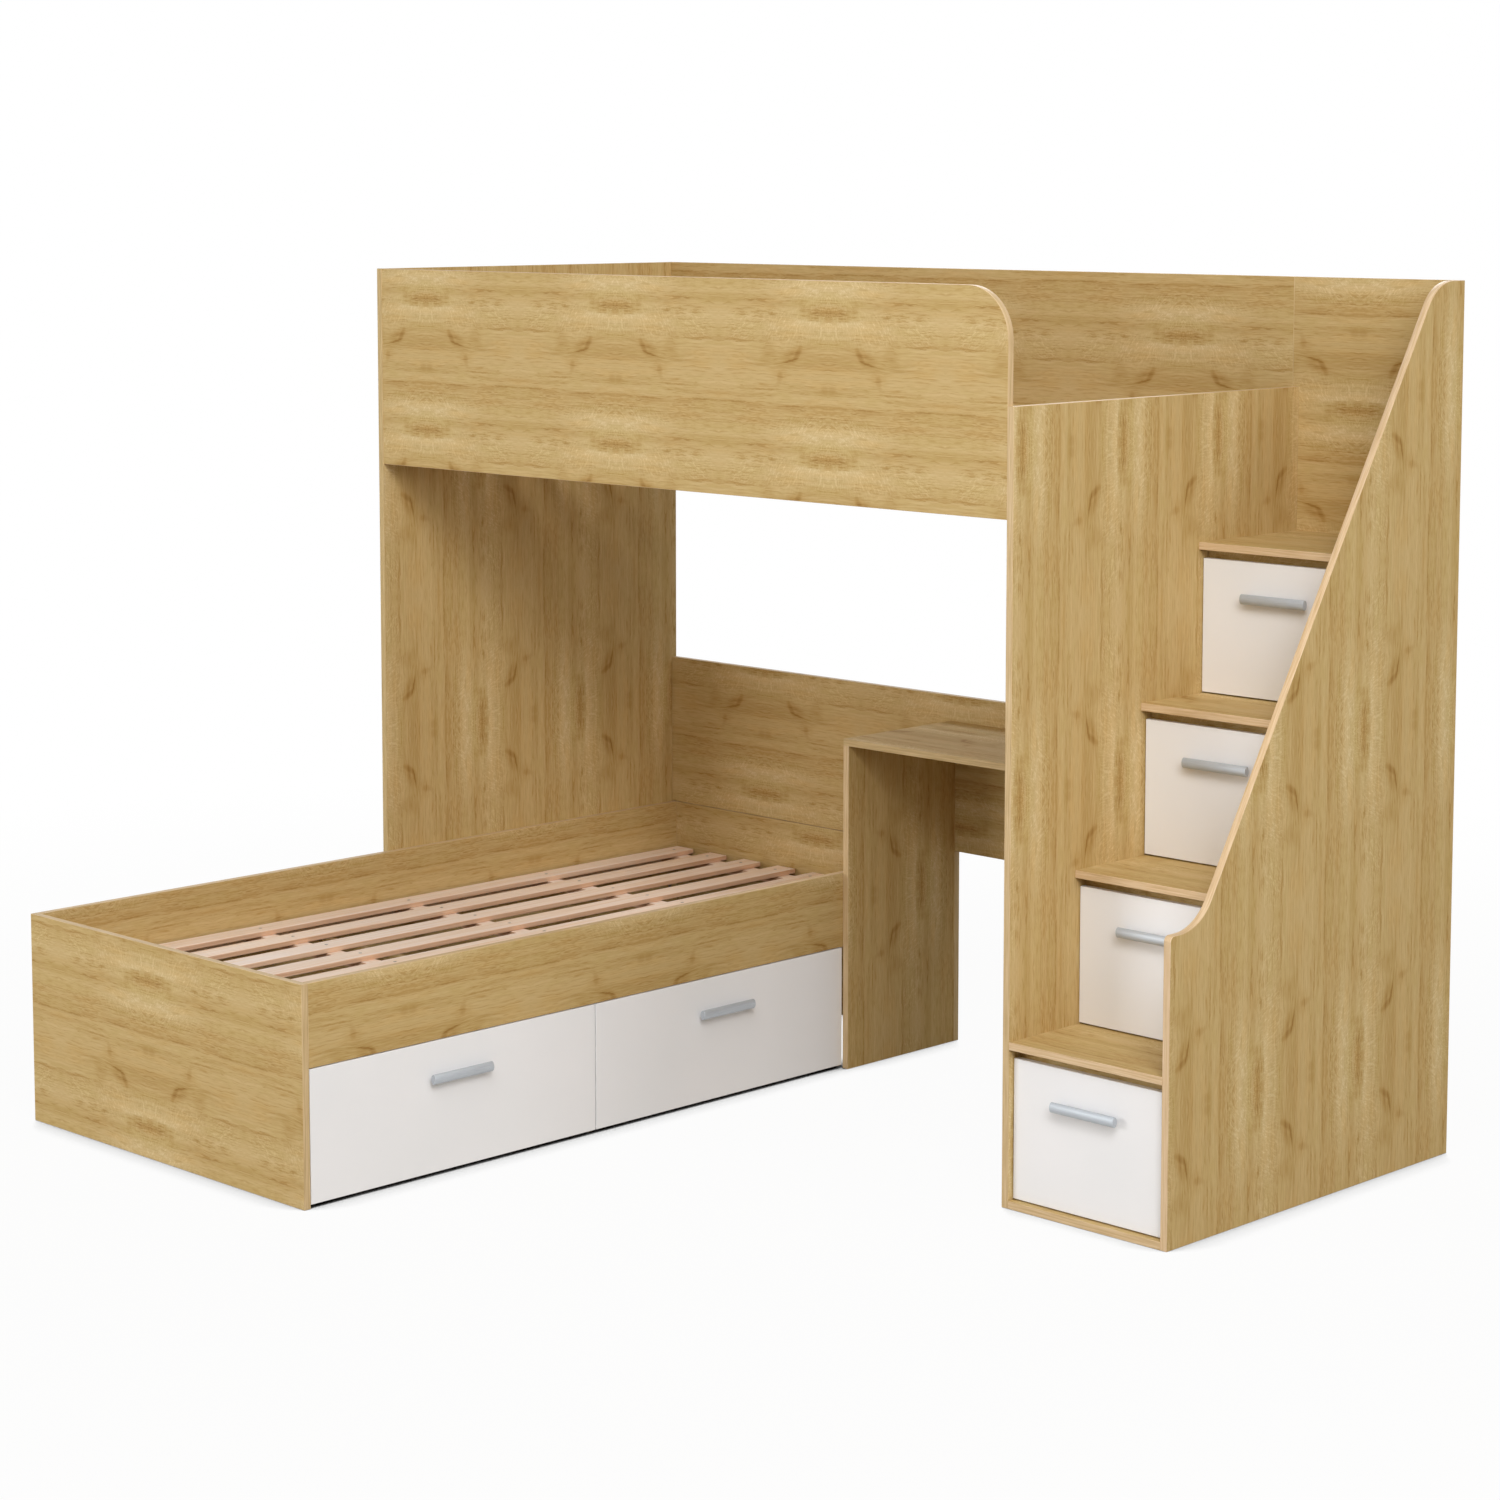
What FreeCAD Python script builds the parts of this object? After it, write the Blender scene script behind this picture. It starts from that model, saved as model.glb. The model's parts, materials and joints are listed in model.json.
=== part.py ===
import FreeCAD, Part
import math
import os
from FreeCAD import Vector

# Bunk bed with storage stairs: a high bunk over a desk and a low bed that stands across it, with a
# staircase of four drawers at the right-hand end. Everything is 16 mm faced board, apart from the
# slatted bases, the drawer boxes and the metal parts.
# Millimetres. During the making, x runs right along the high bunk from the left panel's outer face,
# y runs back from the bunk's front plane and z runs up from the floor. At the end each piece moves so
# that the origin is on the floor under the middle of the whole bed.

# Board and joints
board = 16.0                 # thickness of every faced board
joint_line = 1.0             # fine gap between two boards that only meet edge to edge
edge_recess = 1.0            # the guard and the right-hand rail sit this far behind their end panels

# High bunk
bunk_clear_length = 1900.0   # left panel to staircase
bunk_depth = 946.0           # front plane to the back of the back panels
total_height = 1819.0
guard_height = 453.0
guard_corner_radius = 105.0
upper_cleat_rise = 10.0      # cleats above the guard's lower edge

# Staircase
stair_clear_width = 379.0
climb_over_drop = 232.0      # the inner side is this much below the guard, to climb over
first_step_height = 336.0
step_rise = 315.0
step_runs = (200.0, 205.0, 185.0)
rail_front_height = 608.0    # front top of the outer side, before it climbs
rail_foot_y = 92.5           # where the sloping edge would leave the front top
rail_head_inset = 96.5       # back to where it would reach the full height
rail_front_radius = 12.0
rail_foot_radius = 112.0
rail_head_radius = 100.0

# Low bed
lower_clear_width = 908.0
lower_clear_length = 1900.0
lower_height = 454.0
side_rail_height = 171.0
lower_slat_drop = 113.0      # slat tops below the bed's top edge

# Desk and the wide panel behind it
desk_height = 763.0
desk_depth = 367.0
middle_back_top = 823.0

# Slatted bases, alike in both beds
slat_count = 8
slat_width = 60.0
slat_thickness = 12.0
slat_side_gap = 7.0
slat_end_gap = 5.0
batten_count = 5
batten_width = 40.0
batten_thickness = 18.0
batten_end_gap = 2.0
batten_head_offset = 45.0
batten_foot_offset = 123.0
cleat_width = 20.0
cleat_height = 25.0
slat_screw_length = 26.0
slat_screw_radius = 2.0
slat_screw_head_radius = 4.0

# Drawers
front_floor_gap = 8.0        # under the low bed's fronts
front_line = 2.0             # gap round a front
front_pair_gap = 3.0         # between the two fronts of the low bed
stair_front_foot_gap = 3.0
stair_front_head_gap = 18.0  # finger space under each tread
stair_front_recess = 14.0    # fronts behind the edge of their treads
tread_strip_height = 26.0    # strip under each tread, which closes the finger space
tread_strip_gap = 2.0        # front to the strip behind it
box_board = 12.0
stair_box_height = 200.0
lower_box_height = 180.0
box_lift = 16.0              # box above the front's lower edge
bottom_thickness = 3.0
groove_depth = 6.0
groove_lift = 10.0
groove_play = 0.2
bottom_play = 0.5
longest_runner = 500.0
runner_step = 50.0           # runners come in lengths of whole steps
runner_side_gap = 13.0       # box side to carcass
runner_fixed_height = 35.0
runner_fixed_depth = 11.5
runner_moving_height = 30.0
runner_moving_depth = 10.5
runner_sheet = 1.2
runner_front_gap = 2.0

# Handles
handle_length = 158.0
handle_spacing = 128.0
handle_height = 21.0
handle_thickness = 14.0
handle_standoff = 16.0       # front face to the middle of the bar
handle_drop = 75.0           # top of the front to the middle of the bar
handle_end_round = 2.0
handle_post_radius = 4.5
handle_screw_radius = 2.0
handle_screw_play = 0.15
handle_screw_bite = 7.0
screw_head_radius = 4.0
screw_head_height = 2.5

# Cam fittings
cam_radius = 7.5
cam_depth = 12.5
cam_setback = 24.0           # board end to the middle of the cam
cam_bolt_radius = 3.0
cam_bolt_bite = 10.0
cam_play = 0.1
cam_inset = 40.0             # fittings in from the ends of a joint
tread_cam_inset = 60.0

# Places that follow from the sizes above
bunk_left = board
stair_left = bunk_left + bunk_clear_length
bay_left = stair_left + board
bay_right = bay_left + stair_clear_width
total_length = bay_right + board
back_front = bunk_depth - board
rail_head_y = bunk_depth - rail_head_inset
stair_inner_height = total_height - climb_over_drop
guard_bottom = total_height - guard_height
tread_fronts = [sum(step_runs[:k]) for k in range(len(step_runs) + 1)]
tread_tops = [first_step_height + k * step_rise for k in range(len(step_runs) + 1)]

bed_left = bunk_left
bed_right = bed_left + board + lower_clear_width + board
bed_inner_left = bed_left + board
bed_rail_face = bed_right - edge_recess
bed_rail_back = bed_rail_face - board
foot_inner = back_front - lower_clear_length
foot_front = foot_inner - board
rail_bottom = lower_height - side_rail_height
desk_front = back_front - desk_depth
divider_centre = (foot_inner + desk_front) / 2
partition_end = bed_rail_back - runner_front_gap

parts = {}


def box(x0, x1, y0, y1, z0, z1):
    """A block between two corners."""
    return Part.makeBox(x1 - x0, y1 - y0, z1 - z0, Vector(x0, y0, z0))


def rod(start, along, length, radius):
    """A round bar from a point, along a direction."""
    return Part.makeCylinder(radius, length, start, along)


def placed(solids, place):
    """Copies of the solids, moved by a placement, as one group."""
    moved = []
    for solid in solids:
        solid = solid.copy()
        solid.Placement = place.multiply(solid.Placement)
        moved.append(solid)
    return Part.makeCompound(moved)


def rounded_face(corners, radii):
    """A flat face through corners, each with its own rounding radius."""
    edges = []
    count = len(corners)
    ends = []
    for i, corner in enumerate(corners):
        to_last = (corners[i - 1] - corner).normalize()
        to_next = (corners[(i + 1) % count] - corner).normalize()
        half = to_last.getAngle(to_next) / 2
        reach = radii[i] / math.tan(half)
        start, end = corner + to_last * reach, corner + to_next * reach
        middle = None
        if radii[i] > 0:
            inward = (to_last + to_next).normalize()
            middle = corner + inward * (radii[i] / math.sin(half) - radii[i])
        ends.append((start, middle, end))
    for i, (start, middle, end) in enumerate(ends):
        if middle is not None:
            edges.append(Part.Arc(start, middle, end).toShape())
        edges.append(Part.makeLine(end, ends[(i + 1) % count][0]))
    return Part.Face(Part.Wire(edges))


# ---- Boards of the high bunk, the staircase, the desk and the low bed ----

def make_bunk_boards():
    parts["left_side_panel"] = box(0, board, 0, bunk_depth, 0, total_height)
    guard_y = edge_recess
    corners = [Vector(bunk_left, guard_y, guard_bottom), Vector(stair_left, guard_y, guard_bottom),
               Vector(stair_left, guard_y, total_height), Vector(bunk_left, guard_y, total_height)]
    guard = rounded_face(corners, (0, 0, guard_corner_radius, 0))
    parts["upper_guard_panel"] = guard.extrude(Vector(0, board, 0))
    parts["upper_back_panel"] = box(bunk_left, stair_left, back_front, bunk_depth,
                                    guard_bottom, total_height)
    parts["middle_back_panel"] = box(bunk_left, stair_left, back_front, bunk_depth,
                                     lower_height + joint_line, middle_back_top)


def make_stair_boards():
    parts["stair_inner_panel"] = box(stair_left, bay_left, 0, back_front, 0, stair_inner_height)
    x = bay_right
    corners = [Vector(x, 0, 0), Vector(x, 0, rail_front_height),
               Vector(x, rail_foot_y, rail_front_height), Vector(x, rail_head_y, total_height),
               Vector(x, bunk_depth, total_height), Vector(x, bunk_depth, 0)]
    radii = (0, rail_front_radius, rail_foot_radius, rail_head_radius, 0, 0)
    parts["stair_outer_panel"] = rounded_face(corners, radii).extrude(Vector(board, 0, 0))
    parts["stair_back_panel"] = box(stair_left, bay_right, back_front, bunk_depth, 0, total_height)
    parts["stair_bottom_panel"] = box(bay_left, bay_right, 0, back_front, 0, board)
    for k, (front, top) in enumerate(zip(tread_fronts, tread_tops), 1):
        tread = box(bay_left, bay_right, front, back_front, top - board, top)
        strip_front = front + stair_front_recess + board + tread_strip_gap
        strip = box(bay_left, bay_right, strip_front, strip_front + board,
                    top - board - tread_strip_height, top - board)
        parts[f"stair_tread_{k}"] = Part.makeCompound([tread, strip])


def make_desk():
    parts["desk_top"] = box(bed_right, stair_left, desk_front, back_front,
                            desk_height - board, desk_height)
    parts["desk_side_panel"] = box(bed_right, bed_right + board, desk_front, back_front,
                                   0, desk_height - board)


def make_lower_bed():
    parts["lower_foot_panel"] = box(bed_left, bed_right, foot_front, foot_inner, 0, lower_height)
    parts["lower_head_panel"] = box(bed_left, bed_right + board, back_front, bunk_depth,
                                    0, lower_height)
    parts["lower_left_panel"] = box(bed_left, bed_inner_left, foot_inner, back_front, 0, lower_height)
    parts["lower_right_rail"] = box(bed_rail_back, bed_rail_face, foot_inner, back_front,
                                    rail_bottom, lower_height)
    parts["drawer_bay_divider"] = box(bed_inner_left, partition_end, divider_centre - board / 2,
                                      divider_centre + board / 2, 0, rail_bottom)
    parts["drawer_bay_end"] = box(bed_inner_left, partition_end, desk_front, desk_front + board,
                                  0, rail_bottom)


# ---- Slatted bases ----

def slatted_base(name, length, width, place):
    """Long slats on cross battens. Locally x runs along the bed from its head and y across it."""
    pitch = (width - slat_width - 2 * slat_side_gap) / (slat_count - 1)
    slats = []
    for k in range(slat_count):
        y = slat_side_gap + k * pitch
        slats.append(box(slat_end_gap, length - slat_end_gap, y, y + slat_width,
                         batten_thickness, batten_thickness + slat_thickness))
    pitch = (length - batten_head_offset - batten_foot_offset) / (batten_count - 1)
    battens = []
    for k in range(batten_count):
        x = batten_head_offset + k * pitch
        battens.append(box(x - batten_width / 2, x + batten_width / 2, batten_end_gap,
                           width - batten_end_gap, 0, batten_thickness))
    screws = [slat_screw((batten.BoundBox.XMin + batten.BoundBox.XMax) / 2,
                         (slat.BoundBox.YMin + slat.BoundBox.YMax) / 2)
              for batten in battens for slat in slats]
    holes = Part.makeCompound(screws)
    parts[f"{name}_slats"] = placed([slat.cut(holes) for slat in slats], place)
    parts[f"{name}_battens"] = placed([batten.cut(holes) for batten in battens], place)
    return placed(screws, place).Solids


def slat_screw(x, y):
    """A countersunk screw down through a slat into the batten below."""
    top = Vector(x, y, batten_thickness + slat_thickness)
    head = Part.makeCone(slat_screw_head_radius, slat_screw_radius,
                         slat_screw_head_radius - slat_screw_radius, top, Vector(0, 0, -1))
    shank = rod(top, Vector(0, 0, -1), slat_screw_length, slat_screw_radius)
    return head.fuse(shank).removeSplitter()


def make_slatted_bases():
    # The low bed's head is at the back, so its length runs towards -y.
    seat = lower_height - lower_slat_drop - slat_thickness - batten_thickness
    low_width = bed_rail_back - bed_inner_left
    turn = FreeCAD.Rotation(Vector(0, 0, 1), -90)
    screws = slatted_base("lower", lower_clear_length, low_width,
                          FreeCAD.Placement(Vector(bed_inner_left, back_front, seat), turn))
    cleat_z = seat - cleat_height
    parts["lower_cleats"] = Part.makeCompound([
        box(bed_inner_left, bed_inner_left + cleat_width, foot_inner, back_front, cleat_z, seat),
        box(bed_rail_back - cleat_width, bed_rail_back, foot_inner, back_front, cleat_z, seat)])
    # The high bunk's head is at the staircase, so its length runs towards -x.
    guard_back = edge_recess + board
    seat = guard_bottom + upper_cleat_rise + cleat_height
    turn = FreeCAD.Rotation(Vector(0, 0, 1), 180)
    screws += slatted_base("upper", bunk_clear_length, back_front - guard_back,
                           FreeCAD.Placement(Vector(stair_left, back_front, seat), turn))
    cleat_z = seat - cleat_height
    parts["upper_cleats"] = Part.makeCompound([
        box(bunk_left, stair_left, guard_back, guard_back + cleat_width, cleat_z, seat),
        box(bunk_left, stair_left, back_front - cleat_width, back_front, cleat_z, seat)])
    parts["slat_screws"] = Part.makeCompound(screws)


# ---- Drawers ----

def channel(x_web, x_open, y0, y1, z_centre, height):
    """A folded steel channel whose web is at x_web and whose flanges reach to x_open."""
    side = 1 if x_open > x_web else -1
    z0, z1 = z_centre - height / 2, z_centre + height / 2
    outer = box(min(x_web, x_open), max(x_web, x_open), y0, y1, z0, z1)
    hollow_0, hollow_1 = x_web + side * runner_sheet, x_open + side
    hollow = box(min(hollow_0, hollow_1), max(hollow_0, hollow_1), y0 - 1, y1 + 1,
                 z0 + runner_sheet, z1 - runner_sheet)
    return outer.cut(hollow)


def make_handle(x, z):
    """A low oval bar on two posts, with its screws through the front. The front faces -y at y = 0."""
    half = handle_length / 2
    section = Part.Ellipse(Vector(0, 0, 0), handle_height / 2, handle_thickness / 2).toShape()
    bar = Part.Face(Part.Wire([section])).extrude(Vector(0, 0, handle_length))
    bar = bar.makeFillet(handle_end_round, [e for e in bar.Edges if e.Closed])
    bar.Placement = bar_placement(x - half, z)
    pieces = [bar]
    for side in (-1, 1):
        foot = Vector(x + side * handle_spacing / 2, 0, z)
        post = rod(foot, Vector(0, -1, 0), handle_standoff, handle_post_radius).cut(bar)
        post = min(post.Solids, key=lambda s: -s.CenterOfMass.y)
        drill = rod(foot, Vector(0, -1, 0), handle_screw_bite + handle_screw_play,
                    handle_screw_radius + handle_screw_play)
        shank = rod(foot + Vector(0, -handle_screw_bite, 0), Vector(0, 1, 0),
                    handle_screw_bite + board, handle_screw_radius)
        head = rod(foot + Vector(0, board, 0), Vector(0, 1, 0), screw_head_height, screw_head_radius)
        pieces += [post.cut(drill), shank.fuse(head).removeSplitter()]
    return pieces


def bar_placement(x, z):
    """Stands the bar's length along x and its wide axis upright."""
    matrix = FreeCAD.Matrix()
    matrix.A11, matrix.A12, matrix.A13, matrix.A14 = 0, 0, 1, x
    matrix.A21, matrix.A22, matrix.A23, matrix.A24 = 0, 1, 0, -handle_standoff
    matrix.A31, matrix.A32, matrix.A33, matrix.A34 = -1, 0, 0, z
    return FreeCAD.Placement(matrix)


def make_drawer(name, place, front_width, front_height, bay_width, bay_offset, box_height, length):
    """One drawer, modelled with its front facing -y at y = 0, and the runners beside it."""
    box_half = bay_width / 2 - runner_side_gap
    left, right = bay_offset - box_half, bay_offset + box_half
    back = board + length
    z0, z1 = box_lift, box_lift + box_height
    front = box(-front_width / 2, front_width / 2, 0, board, 0, front_height)
    side_l = box(left, left + box_board, board, back, z0, z1)
    side_r = box(right - box_board, right, board, back, z0, z1)
    back_board = box(left + box_board, right - box_board, back - box_board, back, z0, z1)
    reach = groove_depth - bottom_play
    floor = box(left + box_board - reach, right - box_board + reach, board - reach,
                back - box_board + reach, z0 + groove_lift, z0 + groove_lift + bottom_thickness)
    groove = box(left + box_board - groove_depth, right - box_board + groove_depth,
                 board - groove_depth, back - box_board + groove_depth,
                 z0 + groove_lift - groove_play, z0 + groove_lift + bottom_thickness + groove_play)
    handle_z = front_height - handle_drop
    for side in (-1, 1):
        hole = rod(Vector(side * handle_spacing / 2, -1, handle_z), Vector(0, 1, 0), board + 2,
                   handle_screw_radius + handle_screw_play)
        front = front.cut(hole)
    runner_z = (z0 + z1) / 2
    moving, fixed = [], []
    for side, face in ((-1, left), (1, right)):
        wall = bay_offset + side * bay_width / 2
        moving.append(channel(face, face + side * runner_moving_depth, board, back, runner_z,
                              runner_moving_height))
        fixed.append(channel(wall, wall - side * runner_fixed_depth, board + runner_front_gap, back,
                             runner_z, runner_fixed_height))
    pieces = {"front": [front.cut(groove)],
              "box": [side_l.cut(groove), side_r.cut(groove), back_board.cut(groove)],
              "bottom": [floor],
              "handle": make_handle(0, handle_z),
              "runners": moving}
    for piece, solids in pieces.items():
        parts[f"{name}_{piece}"] = placed(solids, place)
    return placed(fixed, place).Solids


def runner_length(space):
    """The longest standard runner that fits a space."""
    return min(longest_runner, runner_step * math.floor(space / runner_step))


def make_stair_drawers():
    fixed = []
    floors = [board] + tread_tops[:-1]
    centre = (bay_left + bay_right) / 2
    for k, (floor, top, front_y) in enumerate(zip(floors, tread_tops, tread_fronts), 1):
        height = top - board - floor - stair_front_foot_gap - stair_front_head_gap
        y = front_y + stair_front_recess
        space = back_front - y - board
        place = FreeCAD.Placement(Vector(centre, y, floor + stair_front_foot_gap),
                                  FreeCAD.Rotation())
        fixed += make_drawer(f"stair_drawer_{k}", place, stair_clear_width - 2 * front_line, height,
                             stair_clear_width, 0, stair_box_height, runner_length(space))
    parts["stair_drawer_rails"] = Part.makeCompound(fixed)


def make_lower_drawers():
    fixed = []
    height = rail_bottom - front_line - front_floor_gap
    width = (desk_front - foot_inner - 2 * front_line - front_pair_gap) / 2
    bay_width = divider_centre - board / 2 - foot_inner
    turn = FreeCAD.Rotation(Vector(0, 0, 1), 90)
    space = bed_rail_back - bed_inner_left
    for name, side in (("foot", -1), ("head", 1)):
        front_centre = divider_centre + side * (front_pair_gap + width) / 2
        bay_centre = divider_centre + side * (board + bay_width) / 2
        place = FreeCAD.Placement(Vector(bed_rail_face, front_centre, front_floor_gap), turn)
        fixed += make_drawer(f"lower_drawer_{name}", place, width, height, bay_width,
                             bay_centre - front_centre, lower_box_height, runner_length(space))
    parts["lower_drawer_rails"] = Part.makeCompound(fixed)


# ---- Cam fittings: a disc set in one board pulls a bolt that stands in the other ----

def fit_cams(joints):
    """Drills both boards of every joint and makes the discs and bolts."""
    fittings, drills = [], {}
    for held, holding, point, into, face in joints:
        cam = point - into * cam_setback + face * (board / 2)
        reach = cam_setback - cam_radius
        fittings.append(rod(cam, face * -1, cam_depth, cam_radius))
        fittings.append(rod(point - into * reach, into, reach + cam_bolt_bite, cam_bolt_radius))
        pocket = rod(cam, face * -1, cam_depth + cam_play, cam_radius + cam_play)
        bore = rod(point - into * reach, into, reach + cam_bolt_bite + cam_play,
                   cam_bolt_radius + cam_play)
        drills.setdefault(held, []).extend([pocket, bore])
        drills.setdefault(holding, []).append(bore)
    for name, tools in drills.items():
        parts[name] = parts[name].cut(Part.makeCompound(tools))
    parts["cam_fittings"] = Part.makeCompound(fittings)


def list_cam_joints():
    right, left = Vector(1, 0, 0), Vector(-1, 0, 0)
    back, front = Vector(0, 1, 0), Vector(0, -1, 0)
    up, down = Vector(0, 0, 1), Vector(0, 0, -1)
    half = board / 2
    joints = []
    upper_zs = (guard_bottom + cam_inset, total_height - cam_inset)
    for z in upper_zs:
        joints.append(("upper_guard_panel", "left_side_panel",
                       Vector(bunk_left, edge_recess + half, z), left, back))
    for z in (guard_bottom + cam_inset, stair_inner_height - cam_inset):
        joints.append(("upper_guard_panel", "stair_inner_panel",
                       Vector(stair_left, edge_recess + half, z), right, back))
    middle_zs = (lower_height + joint_line + cam_inset, middle_back_top - cam_inset)
    for name, zs in (("upper_back_panel", upper_zs), ("middle_back_panel", middle_zs)):
        for z in zs:
            joints.append((name, "left_side_panel", Vector(bunk_left, back_front + half, z), left, back))
            joints.append((name, "stair_back_panel", Vector(stair_left, back_front + half, z),
                           right, back))
    for k in (0, 1, 2, 3):
        z = tread_tops[k] - board - cam_inset
        joints.append(("stair_inner_panel", "stair_back_panel",
                       Vector(stair_left + half, back_front, z), back, right))
        joints.append(("stair_back_panel", "stair_outer_panel",
                       Vector(bay_right, back_front + half, z), right, back))
    shelves = [("stair_bottom_panel", 0, board)]
    shelves += [(f"stair_tread_{k}", y, z) for k, (y, z) in enumerate(zip(tread_fronts, tread_tops), 1)]
    for name, front_y, top in shelves:
        for y in (front_y + tread_cam_inset, back_front - tread_cam_inset):
            joints.append((name, "stair_inner_panel", Vector(bay_left, y, top - half), left, down))
            joints.append((name, "stair_outer_panel", Vector(bay_right, y, top - half), right, down))
    for y in (desk_front + cam_inset, back_front - cam_inset):
        joints.append(("desk_top", "stair_inner_panel",
                       Vector(stair_left, y, desk_height - half), right, down))
        joints.append(("desk_side_panel", "desk_top",
                       Vector(bed_right + half, y, desk_height - board), up, left))
    for name, z in (("lower_head_panel", cam_inset), ("lower_head_panel", lower_height - cam_inset),
                    ("middle_back_panel", middle_zs[0])):
        joints.append(("desk_side_panel", name, Vector(bed_right + half, back_front, z), back, left))
    for z in (cam_inset, rail_bottom - cam_inset):
        middle = bed_left + half
        joints.append(("lower_left_panel", "lower_foot_panel", Vector(middle, foot_inner, z),
                       front, right))
        joints.append(("lower_left_panel", "lower_head_panel", Vector(middle, back_front, z),
                       back, right))
        for name, y in (("drawer_bay_divider", divider_centre), ("drawer_bay_end", desk_front + half)):
            joints.append((name, "lower_left_panel", Vector(bed_inner_left, y, z), left, back))
    for z in (rail_bottom + cam_inset, lower_height - cam_inset):
        middle = bed_rail_back + half
        joints.append(("lower_right_rail", "lower_foot_panel", Vector(middle, foot_inner, z),
                       front, left))
        joints.append(("lower_right_rail", "lower_head_panel", Vector(middle, back_front, z),
                       back, left))
    return joints


make_bunk_boards()
make_stair_boards()
make_desk()
make_lower_bed()
make_slatted_bases()
make_stair_drawers()
make_lower_drawers()
fit_cams(list_cam_joints())

shift = Vector(-total_length / 2, -(foot_front + bunk_depth) / 2, 0)
os.makedirs("parts", exist_ok=True)
for name, shape in parts.items():
    shape = shape.copy()
    shape.translate(shift)
    shape.exportStep(f"parts/{name}.step")
print(len(parts), "nodes,", sum(len(shape.Solids) for shape in parts.values()), "solids")
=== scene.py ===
import json
import math

import bmesh
import bpy
from mathutils import Matrix, Vector

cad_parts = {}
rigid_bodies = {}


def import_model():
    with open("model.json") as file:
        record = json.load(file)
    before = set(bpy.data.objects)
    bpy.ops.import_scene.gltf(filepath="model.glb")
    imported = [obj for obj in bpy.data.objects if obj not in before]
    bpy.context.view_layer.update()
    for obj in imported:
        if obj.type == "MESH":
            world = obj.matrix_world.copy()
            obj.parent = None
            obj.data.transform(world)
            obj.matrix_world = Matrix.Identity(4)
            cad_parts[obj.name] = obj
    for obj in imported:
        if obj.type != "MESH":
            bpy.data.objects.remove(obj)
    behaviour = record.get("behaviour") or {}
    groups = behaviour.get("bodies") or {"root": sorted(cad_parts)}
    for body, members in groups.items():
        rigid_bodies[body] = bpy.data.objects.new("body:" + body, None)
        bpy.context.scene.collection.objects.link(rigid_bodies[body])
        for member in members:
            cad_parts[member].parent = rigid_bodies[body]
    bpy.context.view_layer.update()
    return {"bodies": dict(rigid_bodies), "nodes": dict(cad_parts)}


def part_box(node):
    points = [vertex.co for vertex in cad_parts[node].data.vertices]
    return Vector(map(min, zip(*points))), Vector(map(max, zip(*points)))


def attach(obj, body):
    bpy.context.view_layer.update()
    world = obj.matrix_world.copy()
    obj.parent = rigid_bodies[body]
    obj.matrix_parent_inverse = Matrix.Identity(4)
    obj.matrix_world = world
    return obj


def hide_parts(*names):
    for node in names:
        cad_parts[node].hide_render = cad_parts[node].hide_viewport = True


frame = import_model()
mm = 0.001
print("frame loaded:", len(frame["nodes"]), "nodes")


def linear(hexColour):
    # sRGB hex to the linear values that the nodes work in
    channels = [int(hexColour[i:i + 2], 16) / 255 for i in (1, 3, 5)]
    return [c / 12.92 if c <= 0.04045 else ((c + 0.055) / 1.055) ** 2.4 for c in channels] + [1.0]


def addNode(tree, kind, inputs=(), take=0, stops=(), **settings):
    # inputs go in by order or by name, each a value or another node's output; take is the output
    # that is handed back; stops are the colours of a ramp
    node = tree.nodes.new("ShaderNode" + kind)
    for name, value in settings.items():
        setattr(node, name, value)
    for key, value in inputs.items() if isinstance(inputs, dict) else enumerate(inputs):
        if isinstance(value, bpy.types.NodeSocket):
            tree.links.new(value, node.inputs[key])
        else:
            node.inputs[key].default_value = value
    elements = node.color_ramp.elements if stops else ()
    while len(elements) < len(stops):
        elements.new(0.5)
    for element, (position, colour) in zip(elements, stops):
        element.position = position
        element.color = linear(colour)
    return node.outputs[take] if node.outputs else node


def newMaterial(name):
    material = bpy.data.materials.new(name)
    material.use_nodes = True
    material.node_tree.nodes.clear()
    return material, material.node_tree


cameraView = {
    "place": (5.0690, -5.0443, 2.0166),
    "turn": 44.73,            # degrees to the left of straight ahead
    "tilt": 5.93,             # degrees down
    "lens": 82.57,            # mm on a frame 36 mm wide
    "frameWidth": 36.0,
    "shift": -0.14,
}


def makeCamera():
    data = bpy.data.cameras.new("camera")
    data.lens = cameraView["lens"]
    data.sensor_width = cameraView["frameWidth"]
    data.sensor_fit = "HORIZONTAL"
    data.shift_y = cameraView["shift"]
    data.dof.use_dof = False
    camera = bpy.data.objects.new("camera", data)
    camera.location = cameraView["place"]
    camera.rotation_euler = (math.radians(90 - cameraView["tilt"]), 0,
                             math.radians(cameraView["turn"]))
    bpy.context.scene.collection.objects.link(camera)
    bpy.context.scene.camera = camera


studio = {
    "skyLight": 0.14,         # the soft light from all round
    "background": 1.0,        # what the camera and reflections see
    "floorSize": 24.0,
    "floorColour": "#BDB6AD",
    "floorWhite": (0.96, 1.0),      # share that shows as plain white, near and far from the bed
    "floorFade": (1.8, 4.5),        # metres from the middle between which it rises
    "paintedShadeReach": 120 * mm,       # how far the painted shade under the boards spreads
    "paintedShadeFade": (0.30, 0.62),
}

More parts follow.
